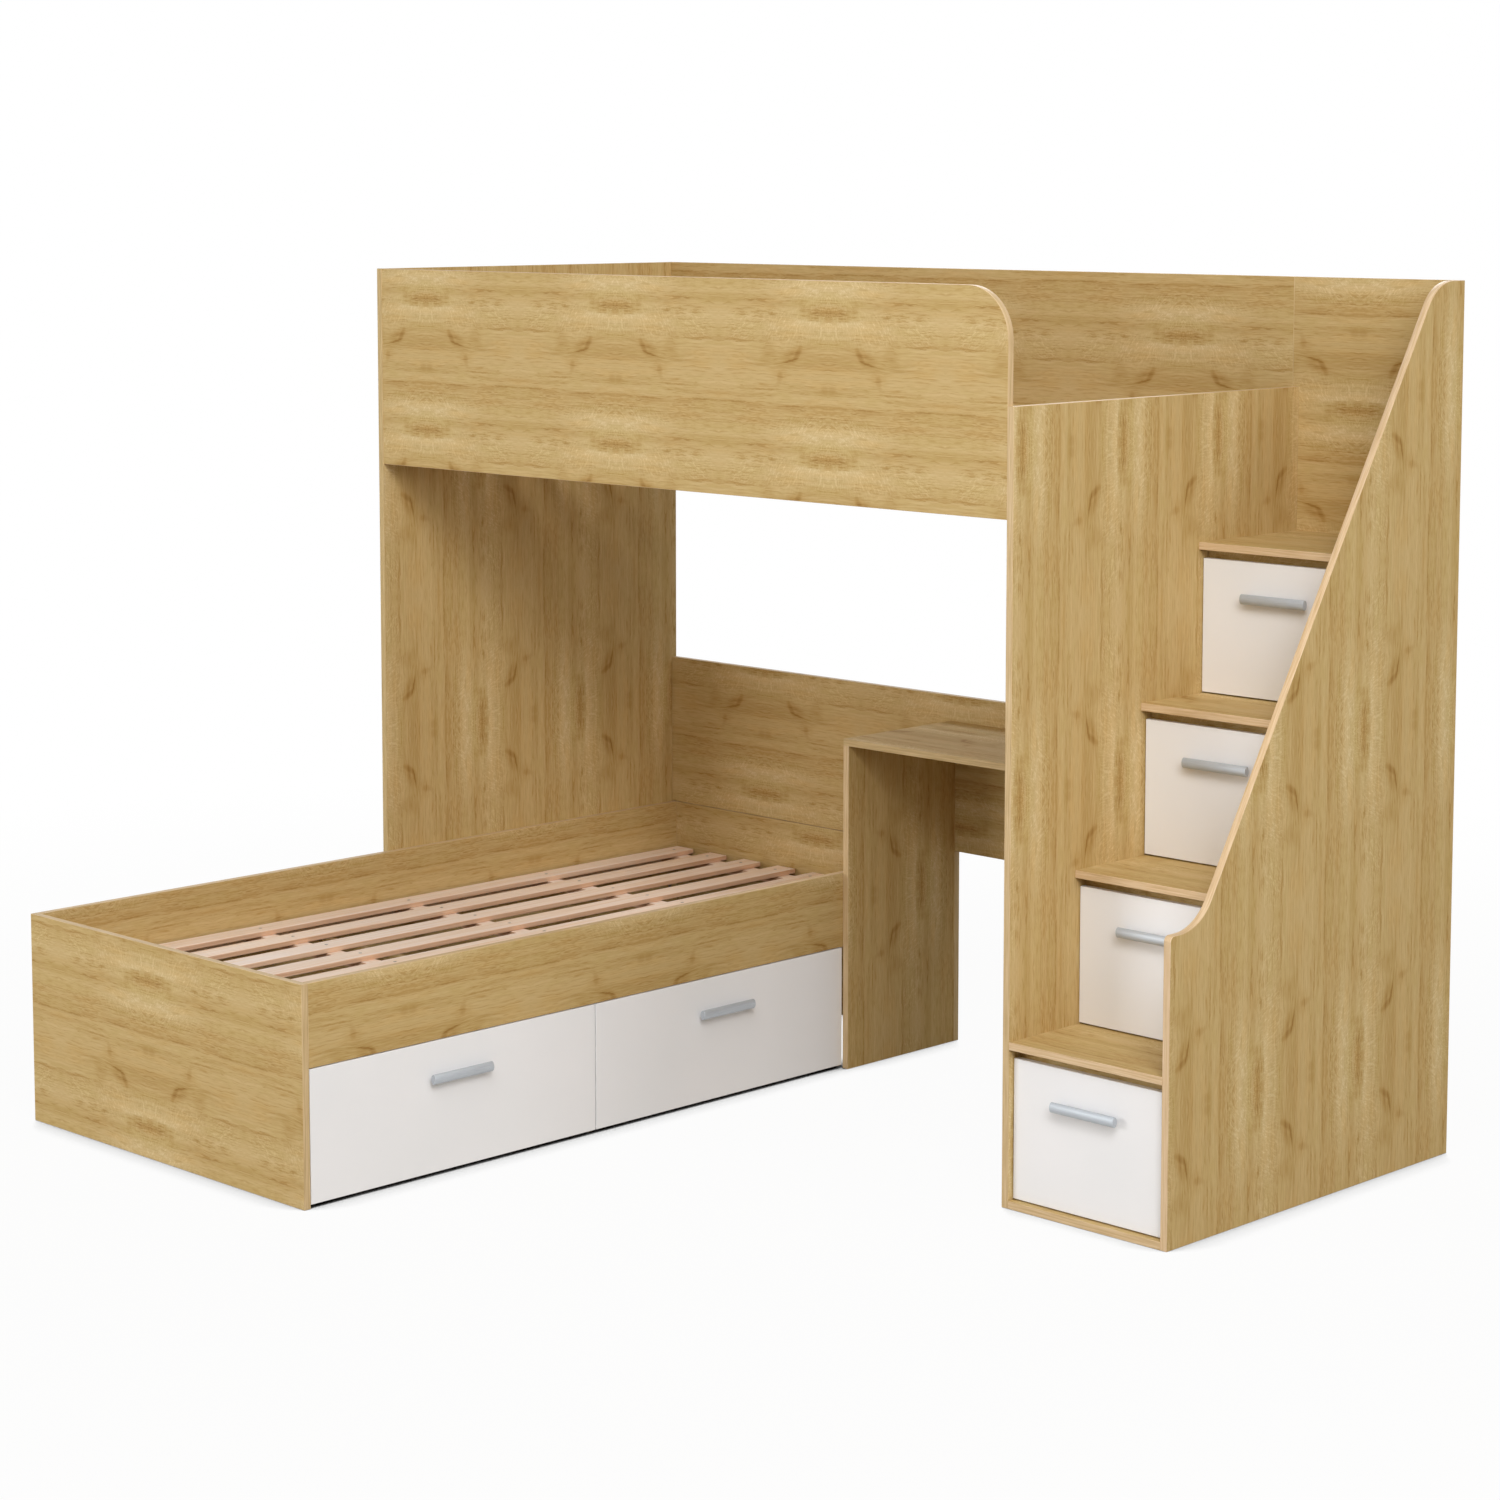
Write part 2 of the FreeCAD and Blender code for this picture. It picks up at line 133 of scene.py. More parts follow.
# name: place, the point it faces, width and height in metres, power in watts
lamps = {
    "keyLamp": ((5.4, -3.6, 5.4), (0.2, 0.0, 0.8), (2.6, 2.2), 212),
    "sideLamp": ((6.6, -3.2, 3.4), (0.2, 0.0, 0.8), (2.6, 2.2), 84),
    "rightLamp": ((6.2, 1.2, 4.6), (0.6, 0.0, 0.8), (2.6, 2.2), 82),
    "frontLamp": ((3.2, -6.0, 4.6), (0.2, 0.0, 0.8), (2.6, 2.2), 54),
    "leftLamp": ((-3.0, -5.6, 2.0), (0.0, 0.0, 0.8), (2.6, 2.2), 138),
    "topLamp": ((2.4, -3.4, 6.0), (0.2, 0.0, 0.8), (3.0, 3.0), 92),
    "backLamp": ((-3.4, 5.2, 5.2), (0.0, 0.0, 1.4), (2.6, 2.2), 110),
}


def seenRays(tree):
    # 1 for the rays of the camera, of reflections and of see-through things
    camera, glossy, through = [addNode(tree, "LightPath", take="Is " + kind + " Ray")
                               for kind in ("Camera", "Glossy", "Transmission")]
    pair = addNode(tree, "Math", [camera, glossy], operation="ADD")
    return addNode(tree, "Math", [pair, through], operation="ADD", use_clamp=True)


def makeWorld():
    world = bpy.data.worlds.new("softBox")
    bpy.context.scene.world = world
    world.use_nodes = True
    tree = world.node_tree
    tree.nodes.clear()
    strength = addNode(tree, "MapRange", [seenRays(tree), 0.0, 1.0, studio["skyLight"],
                                          studio["background"]])
    sky = addNode(tree, "Background", [linear("#FFFFFF"), strength])
    addNode(tree, "OutputWorld", [sky])


def makeFloor():
    # pale matt studio floor: white to the camera, dark only close under the boards, where an
    # occlusion node dims its white glow as painted shade
    material, tree = newMaterial("paleStudioFloor")
    paint = addNode(tree, "BsdfDiffuse", [linear(studio["floorColour"])])
    # ambient occlusion dims the floor's white under and beside the boards: painted shade
    contact = addNode(tree, "AmbientOcclusion", {"Distance": studio["paintedShadeReach"]}, take="AO",
                      samples=8)
    shade = addNode(tree, "MapRange", [contact, *studio["paintedShadeFade"]])
    white = addNode(tree, "Emission", [linear("#FFFFFF"), shade])
    away = addNode(tree, "VectorMath", [addNode(tree, "TexCoord", take="Object")], take="Value",
                   operation="LENGTH")
    share = addNode(tree, "MapRange", [away, *studio["floorFade"], *studio["floorWhite"]])
    share = addNode(tree, "Math", [share, seenRays(tree)], operation="MULTIPLY")
    addNode(tree, "OutputMaterial", [addNode(tree, "MixShader", [share, paint, white])])
    bm = bmesh.new()
    bmesh.ops.create_grid(bm, x_segments=1, y_segments=1, size=studio["floorSize"] / 2)
    mesh = bpy.data.meshes.new("floor")
    bm.to_mesh(mesh)
    bm.free()
    mesh.materials.append(material)
    floor = bpy.data.objects.new("floor", mesh)
    bpy.context.scene.collection.objects.link(floor)


def makeLamps():
    for name, (place, target, size, power) in lamps.items():
        data = bpy.data.lights.new(name, "AREA")
        data.shape = "RECTANGLE"
        data.size, data.size_y = size
        data.energy = power
        lamp = bpy.data.objects.new(name, data)
        lamp.location = place
        aim = Vector(target) - Vector(place)
        lamp.rotation_euler = aim.to_track_quat("-Z", "Y").to_euler()
        bpy.context.scene.collection.objects.link(lamp)


bpy.context.scene.view_settings.view_transform = "Standard"
makeCamera()
makeWorld()
makeLamps()
makeFloor()
print("camera, light and floor are set")


# The oak decor is a printed sheet. The print is mirrored along the grain and repeats across it.
# Places on the sheet are in mm from the middle of its brown streak: along the grain, across it.
decorSheet = {
    "halfRepeat": 322,        # from one mirror line to the next
    "repeat": 310,
    "seam": 172,              # where the repeat is joined, in a plain stretch
    # length and width of the grain's figure, then how strongly it shows
    "figures": [(560, 40, 0.34), (210, 15, 0.22), (110, 4.6, 0.22), (40, 2.2, 0.26)],
    "waves": (110, 7),        # length of the waves and how far they go
    "ragged": (14, 5, 4),     # length and width of the tatters at each spot's rim, and their reach
    "spotRim": 0.8,           # share of an oval over which its tone rises
    "colours": [(0.00, "#6B4B1C"), (0.16, "#98713A"), (0.34, "#B49359"), (0.50, "#C6AA75"),
                (0.66, "#D2BA89"), (0.84, "#DFCB9E"), (1.00, "#EADCB9")],
    # soft spots: along, across, half length, half width, angle, how much paler (below 0: darker)
    "spots": [
        (88, 85, 30, 10, 55, -0.13),       # wide stroke of the crack
        (112, 101, 32, 4.4, 13, -0.18),    # and its thin end
        (104, 90, 52, 26, 35, -0.07),
        (141, 137, 22, 12, 80, -0.08),     # small knot, drawn out across the grain
        (142, 132, 34, 30, 0, -0.06),
        (176, 74, 34, 44, 0, -0.08),       # smudges
        (10, 160, 18, 26, 0, -0.07),
        (60, 112, 300, 62, 0, -0.05),      # a darker, smoother stretch
        (0, 2, 100, 24, 0, -0.09),         # the brown streak lies in this
        (0, -3, 84, 12, 0, -0.06),
        (104, -8, 40, 16, 0, 0.08),        # paler at its ends
        (40, 26, 170, 18, 0, 0.04),
        (60, -46, 150, 34, 0, 0.07),
        (262, -116, 84, 2.8, 0, -0.14),    # long thin lines
        (100, -113, 60, 2.6, 1.5, -0.15),
        (205, -27, 84, 3.0, 1, -0.15),
        (96, -54, 26, 3.0, 0, -0.14),
        (250, 62, 90, 3.2, -1.5, -0.10),
        (200, 164, 120, 2.8, 0.5, -0.12),
    ],
    # dashes in an oval: along, across, half length, half width, how much paler
    "dashes": [(0, 0, 130, 30, -0.13), (184, 3, 110, 22, -0.12), (30, -80, 110, 52, -0.10),
               (230, -70, 140, 60, -0.09), (250, 30, 120, 60, -0.08)],
    "dashSize": (30, 3.4),
    "dashCut": (0.46, 0.60),  # levels of the noise between which a dash appears
    # pale curls that stand across the grain: the oval they fill, then how far they lean from it
    "curls": [(0, 32, 150, 50, 90), (128, 30, 110, 56, 60), (250, 34, 90, 40, 30),
              (60, -60, 160, 50, 40), (0, -26, 120, 34, 70)],
    "curlSize": (12, 3.4),
    "curlCut": (0.48, 0.70),
    "curlTone": 0.21,
    # pores are finer on a real sheet; they are drawn as wide as they must be to show
    "pores": (30, 1.7, -0.10),
    "poreCut": (0.60, 0.76),
    # greener and redder patches, as in the print
    "patchSize": (150, 26),
    "patches": [(0.30, "#FAFAEF"), (0.50, "#FFFFFF"), (0.70, "#FFFAF0")],
    "roughness": (0.78, 0.66),
    "specular": 0.2,          # the texture scatters most of the shine
    "press": (0.3, 0.25),     # strength and depth in mm of the pressed texture
}


def drawnFigure(tree, place, length, width, **settings):
    # cloudy pattern drawn out along the first axis, its length and width in mm
    scale = (1 / (length * mm), 1 / (width * mm), 1 / (width * mm))
    drawn = addNode(tree, "Mapping", {"Vector": place, "Scale": scale})
    return addNode(tree, "TexNoise", {"Vector": drawn, "Scale": 1.0, **settings})


def softSpot(tree, flat, tone, along, across, halfLength, halfWidth, angle=0):
    # tone in the middle of an oval on the sheet, falling to 0 at its rim
    oval = addNode(tree, "Mapping", {"Vector": flat, "Location": (along * mm, across * mm, 0),
                                     "Rotation": (0, 0, math.radians(angle)),
                                     "Scale": (halfLength * mm, halfWidth * mm, 1)},
                   vector_type="TEXTURE")
    ball = addNode(tree, "TexGradient", [oval], take="Fac", gradient_type="SPHERICAL")
    return addNode(tree, "MapRange", [ball, 0.0, decorSheet["spotRim"], 0.0, tone],
                   interpolation_type="SMOOTHSTEP")


def makeOakDecor():
    # Melamine-faced board: an oak photograph printed on paper under clear resin. Its pressed
    # texture breaks up the shine, so the board looks dry and matt, and pores follow the print.
    material, tree = newMaterial("oakDecorMelamine")
    sheet = decorSheet
    repeat, seam = sheet["repeat"] * mm, sheet["seam"] * mm
    laid = addNode(tree, "UVMap", uv_map="decor")
    u = addNode(tree, "SeparateXYZ", [laid], take=0)
    v = addNode(tree, "SeparateXYZ", [laid], take=1)
    along = addNode(tree, "Math", [u, sheet["halfRepeat"] * mm], operation="PINGPONG")
    across = addNode(tree, "Math", [v, seam, seam - repeat], operation="WRAP")
    # round a drum, so that the figure meets itself at the repeat
    turn = addNode(tree, "Math", [across, math.tau / repeat], operation="MULTIPLY")
    sides = [addNode(tree, "Math", [addNode(tree, "Math", [turn], operation=half),
                                    repeat / math.tau], operation="MULTIPLY")
             for half in ("COSINE", "SINE")]
    drum = addNode(tree, "CombineXYZ", [along, *sides])
    length, reach = sheet["waves"]
    wave = drawnFigure(tree, drum, length, length / 3, Detail=2.0)
    lift = addNode(tree, "MapRange", [wave, 0.0, 1.0, -reach * mm, reach * mm])
    waved = addNode(tree, "VectorMath", [drum, addNode(tree, "CombineXYZ", [0, lift, lift])],
                    operation="ADD")
    length, width, reach = sheet["ragged"]
    ragged = drawnFigure(tree, drum, length, width, Detail=2.0)
    edge = addNode(tree, "MapRange", [ragged, 0.0, 1.0, -reach * mm, reach * mm])
    flat = addNode(tree, "CombineXYZ", [addNode(tree, "Math", [along, edge], operation="ADD"),
                                        addNode(tree, "Math", [across, edge], operation="ADD")])
    layers = []
    for length, width, strength in sheet["figures"]:
        figure = drawnFigure(tree, waved, length, width, Detail=2.0, Roughness=0.6)
        layers.append(addNode(tree, "MapRange", [figure, 0.0, 1.0, -strength / 2, strength / 2]))
    layers += [softSpot(tree, flat, tone, *oval) for *oval, tone in sheet["spots"]]
    dash = addNode(tree, "MapRange", [drawnFigure(tree, flat, *sheet["dashSize"], Detail=1.0),
                                      *sheet["dashCut"]])
    for *oval, tone in sheet["dashes"]:
        spot = softSpot(tree, flat, tone, *oval)
        layers.append(addNode(tree, "Math", [spot, dash], operation="MULTIPLY"))
    for *oval, lean in sheet["curls"]:
        turned = addNode(tree, "Mapping", {"Vector": flat, "Rotation": (0, 0, math.radians(lean))},
                         vector_type="TEXTURE")
        curl = drawnFigure(tree, turned, *sheet["curlSize"], Detail=2.0, Distortion=1.2)
        curl = addNode(tree, "MapRange", [curl, *sheet["curlCut"]])
        spot = softSpot(tree, flat, sheet["curlTone"], *oval)
        layers.append(addNode(tree, "Math", [spot, curl], operation="MULTIPLY"))
    length, width, strength = sheet["pores"]
    layers.append(addNode(tree, "MapRange", [drawnFigure(tree, waved, length, width, Detail=0.0),
                                             *sheet["poreCut"], 0.0, strength]))
    tone = 0.5                # the middle of the colours
    for layer in layers:
        tone = addNode(tree, "Math", [tone, layer], operation="ADD")
    colour = addNode(tree, "ValToRGB", [tone], stops=sheet["colours"])
    patch = drawnFigure(tree, drum, *sheet["patchSize"], Detail=2.0)
    tint = addNode(tree, "ValToRGB", [patch], stops=sheet["patches"])
    colour = addNode(tree, "Mix", {0: 1.0, 6: colour, 7: tint}, take=2, data_type="RGBA",
                     blend_type="MULTIPLY")
    gloss = addNode(tree, "MapRange", [tone, 0.0, 1.0, *sheet["roughness"]])
    strength, depth = sheet["press"]
    bump = addNode(tree, "Bump", {"Height": tone, "Strength": strength, "Distance": depth * mm})
    melamine = addNode(tree, "BsdfPrincipled",
                       {"Base Color": colour, "Roughness": gloss, "IOR": 1.5,
                        "Specular IOR Level": sheet["specular"], "Normal": bump})
    addNode(tree, "OutputMaterial", [melamine])
    return material


# the band is a pale print on the steps and the stair rail, and goes with the board elsewhere; on
# the desk side it is made paler as painted light on an edge that lies in shade
edgeBandLooks = {
    "grain": (90, 3.2),
    "pale": [(0.28, "#CCAC80"), (0.46, "#D9BA92"), (0.70, "#E6CBA8")],
    "likeBoard": [(0.28, "#A98F5C"), (0.46, "#BDA26E"), (0.70, "#CDB483")],
    "roughness": (0.48, 0.38),
    "specular": 0.3,
    "press": (0.2, 0.2),
}


def makeEdgeBand():
    # ABS edge band: thin plastic with a printed grain along its length, a little glossier
    material, tree = newMaterial("oakEdgeBand")
    looks = edgeBandLooks
    laid = addNode(tree, "UVMap", uv_map="decor")
    figure = drawnFigure(tree, laid, *looks["grain"], Detail=3.0)
    paleness = addNode(tree, "Attribute", take="Fac", attribute_name="paleBand")
    prints = [addNode(tree, "ValToRGB", [figure], stops=looks[key])
              for key in ("likeBoard", "pale")]
    colour = addNode(tree, "Mix", {0: paleness, 6: prints[0], 7: prints[1]}, take=2,
                     data_type="RGBA")
    gloss = addNode(tree, "MapRange", [figure, 0.0, 1.0, *looks["roughness"]])
    strength, depth = looks["press"]
    bump = addNode(tree, "Bump", {"Height": figure, "Strength": strength,
                                  "Distance": depth * mm})
    plastic = addNode(tree, "BsdfPrincipled",
                      {"Base Color": colour, "Roughness": gloss, "IOR": 1.49,
                       "Specular IOR Level": looks["specular"], "Normal": bump})
    addNode(tree, "OutputMaterial", [plastic])
    return material


whiteBoardLooks = {
    "pearl": (1.6, 1.6),      # coarser than the real one, which is too fine to show
    "cloud": (260, 260),      # slow change of tone and gloss across a board
    "cloudCut": (0.3, 0.7),
    "glossSwing": 0.06,
    "press": (0.25, 0.08),
}


def makeWhiteMelamine(name, colours, roughness):
    # White melamine-faced board: a pressed pearl texture that softens the gloss
    material, tree = newMaterial(name)
    place = addNode(tree, "TexCoord", take="Object")
    looks = whiteBoardLooks
    swing = looks["glossSwing"]
    pearl = drawnFigure(tree, place, *looks["pearl"], Detail=2.0)
    cloud = drawnFigure(tree, place, *looks["cloud"], Detail=2.0)
    colour = addNode(tree, "ValToRGB", [cloud], stops=list(zip(looks["cloudCut"], colours)))
    gloss = addNode(tree, "MapRange", [cloud, 0.0, 1.0, roughness - swing, roughness + swing])
    strength, depth = looks["press"]
    bump = addNode(tree, "Bump", {"Height": pearl, "Strength": strength, "Distance": depth * mm})
    melamine = addNode(tree, "BsdfPrincipled", {"Base Color": colour, "Roughness": gloss,
                                                "IOR": 1.5, "Normal": bump})
    addNode(tree, "OutputMaterial", [melamine])
    return material


fibreboardLooks = {
    "fibres": (4, 3),
    "brown": [(0.35, "#7A5B3C"), (0.65, "#A07E58")],
    "white": [(0.35, "#E1DDD6"), (0.65, "#E9E6E0")],
    "topCut": (0.4, 0.6),     # upward part of the normal between which the lacquer ends
    "roughness": (0.85, 0.5),
}


def makeFibreboard():
    # Thin fibreboard: lacquered white on top, bare brown fibres underneath
    material, tree = newMaterial("whiteFacedFibreboard")
    looks = fibreboardLooks
    normal = addNode(tree, "TexCoord", take="Normal")
    up = addNode(tree, "SeparateXYZ", [normal], take=2)
    top = addNode(tree, "MapRange", [up, *looks["topCut"]])
    fibres = drawnFigure(tree, addNode(tree, "TexCoord", take="Object"), *looks["fibres"],
                         Detail=4.0)
    brown, white = [addNode(tree, "ValToRGB", [fibres], stops=looks[key])
                    for key in ("brown", "white")]
    colour = addNode(tree, "Mix", {0: top, 6: brown, 7: white}, take=2, data_type="RGBA")
    gloss = addNode(tree, "MapRange", [top, 0.0, 1.0, *looks["roughness"]])
    board = addNode(tree, "BsdfPrincipled", {"Base Color": colour, "Roughness": gloss, "IOR": 1.5})
    addNode(tree, "OutputMaterial", [board])
    return material


softwoodGrain = {
    "rings": (240, 5.0),      # mm, length and width of one streak of grain
    "slatTone": (1900, 70),   # neighbouring slats differ over this distance
    "fibres": (60, 0.9),
    "planed": [(0.25, "#EFCFB0"), (0.45, "#F9E1CB"), (0.62, "#FDEADB"), (0.85, "#FEF1E7")],
    # browner colours for the sides of the slats: painted shade
    "paintedShadeSides": [(0.25, "#CB9C77"), (0.50, "#DCB291"), (0.80, "#E8C6A8")],
    "slatShare": 0.55,
    "fibreShare": 0.25,
    "offset": 0.40,           # brings the sum back to the middle of the colours
    "faceCut": (0.5, 0.9),    # upright part of the normal between the sides with painted shade and the planed faces
    "roughness": (0.78, 0.60),
    "press": (0.3, 0.3),
}


def makeSoftwood(name, quarterTurn):
    # Bare softwood, no lacquer, so quite dull: planed faces are pale and pinkish with drawn-out
    # growth rings; the sides are rougher, and their browner colours are painted shade
    material, tree = newMaterial(name)
    grain = softwoodGrain
    place = addNode(tree, "Mapping", {"Vector": addNode(tree, "TexCoord", take="Object"),
                                      "Rotation": (0, 0, math.radians(90 * quarterTurn))})
    rings = drawnFigure(tree, place, *grain["rings"], Detail=3.0, Distortion=0.3)
    slat = drawnFigure(tree, place, *grain["slatTone"], Detail=1.0)
    fibres = drawnFigure(tree, place, *grain["fibres"], Detail=1.0)
    tone = addNode(tree, "Math", [slat, grain["slatShare"], rings], operation="MULTIPLY_ADD")
    tone = addNode(tree, "Math", [fibres, grain["fibreShare"], tone], operation="MULTIPLY_ADD")
    tone = addNode(tree, "Math", [tone, grain["offset"]], operation="SUBTRACT")
    normal = addNode(tree, "TexCoord", take="Normal")
    upright = addNode(tree, "Math", [addNode(tree, "SeparateXYZ", [normal], take=2)],
                      operation="ABSOLUTE")
    onFace = addNode(tree, "MapRange", [upright, *grain["faceCut"]])
    # the sides take the browner colours, which are painted shade
    sides = [addNode(tree, "ValToRGB", [tone], stops=grain[cut]) for cut in ("paintedShadeSides", "planed")]
    colour = addNode(tree, "Mix", {0: onFace, 6: sides[0], 7: sides[1]}, take=2, data_type="RGBA")
    gloss = addNode(tree, "MapRange", [onFace, 0.0, 1.0, *grain["roughness"]])
    strength, depth = grain["press"]
    bump = addNode(tree, "Bump", {"Height": tone, "Strength": strength, "Distance": depth * mm})
    wood = addNode(tree, "BsdfPrincipled", {"Base Color": colour, "Roughness": gloss,
                                            "IOR": 1.45, "Normal": bump})
    addNode(tree, "OutputMaterial", [wood])
    return material


aluminiumLooks = {
    "brushLines": (26, 0.6),  # coarser than the real ones, which are too fine to show
    "colours": [(0.3, "#B2B8BF"), (0.7, "#C3C9CF")],
    "roughness": (0.42, 0.58),
    "metallic": 0.35,         # the lacquer hides most of the metal
    "press": (0.12, 0.05),
}


def makeAluminium(name, quarterTurn):
    # Satin anodised aluminium under a clear matt lacquer: soft grey, with brush lines along the bar
    material, tree = newMaterial(name)
    place = addNode(tree, "Mapping", {"Vector": addNode(tree, "TexCoord", take="Object"),
                                      "Rotation": (0, 0, math.radians(90 * quarterTurn))})
    looks = aluminiumLooks
    lines = drawnFigure(tree, place, *looks["brushLines"], Detail=2.0)
    gloss = addNode(tree, "MapRange", [lines, 0.0, 1.0, *looks["roughness"]])
    colour = addNode(tree, "ValToRGB", [lines], stops=looks["colours"])
    strength, depth = looks["press"]
    bump = addNode(tree, "Bump", {"Height": lines, "Strength": strength, "Distance": depth * mm})
    metal = addNode(tree, "BsdfPrincipled", {"Base Color": colour, "Roughness": gloss,
                                             "Metallic": looks["metallic"], "Normal": bump})
    addNode(tree, "OutputMaterial", [metal])
    return material


zincLooks = {
    "softness": 0.6,
    "patchCut": (0.1, 0.8),
    "roughnessFrom": -0.05,   # round the given roughness
    "roughnessTo": 0.08,
}


def makeZinc(name, colours, spangle, roughness):
    # Zinc on steel: bright but cloudy, with soft patches of tone
    material, tree = newMaterial(name)
    looks = zincLooks
    patches = addNode(tree, "TexVoronoi", {"Vector": addNode(tree, "TexCoord", take="Object"),
                                           "Scale": 1 / (spangle * mm),
                                           "Smoothness": looks["softness"]},
                      take="Distance", feature="SMOOTH_F1")
    colour = addNode(tree, "ValToRGB", [patches], stops=list(zip(looks["patchCut"], colours)))
    gloss = addNode(tree, "MapRange", [patches, 0.0, 1.0, roughness + looks["roughnessFrom"],
                                       roughness + looks["roughnessTo"]])
    metal = addNode(tree, "BsdfPrincipled", {"Base Color": colour, "Roughness": gloss,
                                             "Metallic": 1.0})
    addNode(tree, "OutputMaterial", [metal])
    return material


oakDecor = makeOakDecor()
edgeBand = makeEdgeBand()
whiteMelamine = makeWhiteMelamine("whiteMelamine", ("#F1F1F2", "#F5F4F5"), 0.40)
boxMelamine = makeWhiteMelamine("whiteDrawerBoard", ("#E2DED8", "#E8E5E0"), 0.48)
fibreboard = makeFibreboard()
softwood = [makeSoftwood("planedSoftwoodAlongX", 0), makeSoftwood("planedSoftwoodAlongY", 1)]
aluminium = [makeAluminium("satinAluminiumAlongX", 0), makeAluminium("satinAluminiumAlongY", 1)]
runnerZinc = makeZinc("zincPlatedSheet", ("#C2C5C8", "#D2D4D6"), 14, 0.30)
camZinc = makeZinc("zincDieCasting", ("#A9A7A1", "#BDBAB3"), 5, 0.36)
print("materials are made:", len(bpy.data.materials))


def addBlock(bm, low, high):
    block = bmesh.ops.create_cube(bm, size=1)["verts"]
    bmesh.ops.scale(bm, vec=high - low, verts=block)
    bmesh.ops.translate(bm, vec=(low + high) / 2, verts=block)


def roundEdges(bm, edges, radius, segments=2):
    bmesh.ops.bevel(bm, geom=edges, offset=radius, offset_type="OFFSET", affect="EDGES",
                    segments=segments, profile=0.5, material=-1, clamp_overlap=True)


flatEnough = 0.999        # a face whose normal is this close to an axis is flat; rounding is smooth


def smoothRounding(bm):
    for face in bm.faces:
        face.smooth = max(map(abs, face.normal)) < flatEnough


def finishPiece(name, bm, materials, body, nodes):
    bmesh.ops.recalc_face_normals(bm, faces=bm.faces)
    mesh = bpy.data.meshes.new(name)
    bm.to_mesh(mesh)
    bm.free()
    for material in materials:
        mesh.materials.append(material)
    piece = bpy.data.objects.new(name, mesh)
    bpy.context.scene.collection.objects.link(piece)
    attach(piece, body)
    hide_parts(*nodes)


weldDistance = 0.01 * mm


def solidsOf(node):
    # the lowest and highest corner of each separate solid of a CAD node
    bm = bmesh.new()
    bm.from_mesh(frame["nodes"][node].data)
    bmesh.ops.remove_doubles(bm, verts=bm.verts, dist=weldDistance)
    boxes, seen = [], set()
    for start in bm.verts:
        if start in seen:
            continue
        seen.add(start)
        found, waiting = [], [start]
        while waiting:
            vert = waiting.pop()
            found.append(vert.co.copy())
            for edge in vert.link_edges:
                other = edge.other_vert(vert)
                if other not in seen:
                    seen.add(other)
                    waiting.append(other)
        boxes.append((Vector(map(min, zip(*found))), Vector(map(max, zip(*found)))))
    bm.free()
    return boxes


# along and across: the axes of the grain and of the width. mirrorAt and streakAt: where a mirror
# line and the brown streak of the print fall, in mm. up: 1 if the print's top is on top.
# print: how much longer and wider the print is than its nominal size. pale: how pale the band is
oakBoards = {
    "left_side_panel": {"along": 2, "across": 1, "mirrorAt": 728, "streakAt": -953, "up": 1,
                        "print": (1.0, 1.026), "pale": 0.05},
    "upper_guard_panel": {"along": 0, "across": 2, "mirrorAt": 275, "streakAt": 1751, "up": -1,
                          "print": (0.982, 0.968), "pale": 0.55},
    "upper_back_panel": {"along": 0, "across": 2, "mirrorAt": 460, "streakAt": 1681, "up": -1},
    "middle_back_panel": {"along": 0, "across": 2, "mirrorAt": -817, "streakAt": 511, "up": -1},
    "stair_inner_panel": {"along": 2, "across": 1, "mirrorAt": 815, "streakAt": 356, "up": -1,
                          "print": (1.064, 1.006), "pale": 0.45},
    "stair_outer_panel": {"along": 2, "across": 1, "mirrorAt": 932, "streakAt": 304, "up": 1,
                          "print": (1.037, 1.09), "pale": 0.95},
    "stair_back_panel": {"along": 0, "across": 2, "mirrorAt": 918, "streakAt": 1545, "up": 1},
    "stair_bottom_panel": {"along": 0, "across": 1, "mirrorAt": 700, "streakAt": 40, "up": 1,
                           "pale": 0.6},
    "stair_tread_1": {"along": 0, "across": 1, "mirrorAt": 1240, "streakAt": 175, "up": 1,
                      "pale": 0.9},
    "stair_tread_2": {"along": 0, "across": 1, "mirrorAt": 1290, "streakAt": 330, "up": 1,
                      "pale": 0.9},
    "stair_tread_3": {"along": 0, "across": 1, "mirrorAt": 690, "streakAt": 640, "up": -1,
                      "pale": 0.9},
    "stair_tread_4": {"along": 0, "across": 1, "mirrorAt": 1235, "streakAt": 560, "up": -1,
                      "pale": 0.9},
    "desk_top": {"along": 0, "across": 1, "mirrorAt": 560, "streakAt": 530, "up": -1},
    # the desk side's band is paler than its board: painted light on its shaded front edge
    "desk_side_panel": {"along": 2, "across": 1, "mirrorAt": 392, "streakAt": 830, "up": -1,
                        "pale": 0.6},
    "lower_foot_panel": {"along": 0, "across": 2, "mirrorAt": -723, "streakAt": 68, "up": 1,
                         "pale": 0.4},
    "lower_head_panel": {"along": 0, "across": 2, "mirrorAt": -640, "streakAt": 420, "up": -1},
    "lower_left_panel": {"along": 1, "across": 2, "mirrorAt": -176, "streakAt": 212, "up": 1,
                         "pale": 0.5},
    "lower_right_rail": {"along": 1, "across": 2, "mirrorAt": -695, "streakAt": 198, "up": 1,
                         "print": (1.02, 1.0), "pale": 0.5},
    "drawer_bay_divider": {"along": 0, "across": 2, "mirrorAt": -700, "streakAt": 100, "up": 1},
    "drawer_bay_end": {"along": 0, "across": 2, "mirrorAt": -500, "streakAt": 160, "up": 1},
}

boardShape = {
    "arris": 0.9 * mm,        # rounding of the edge band
    "skin": 0.03 * mm,        # faces lie this far in, so that the cam discs show
    "pale": 0.2,              # band, where a board names none
    "sharpAngle": 30,         # degrees between faces, above which an edge is rounded
    "faceCut": 0.98,          # thickness part of the normal above which a face is printed
}

# the strip under each tread shows its face
treadStrip = {"along": 0, "across": 2, "mirrorAt": 760, "streakAt": 0, "up": 1}

guardShape = {"cornerRadius": 105 * mm, "arcSteps": 22}

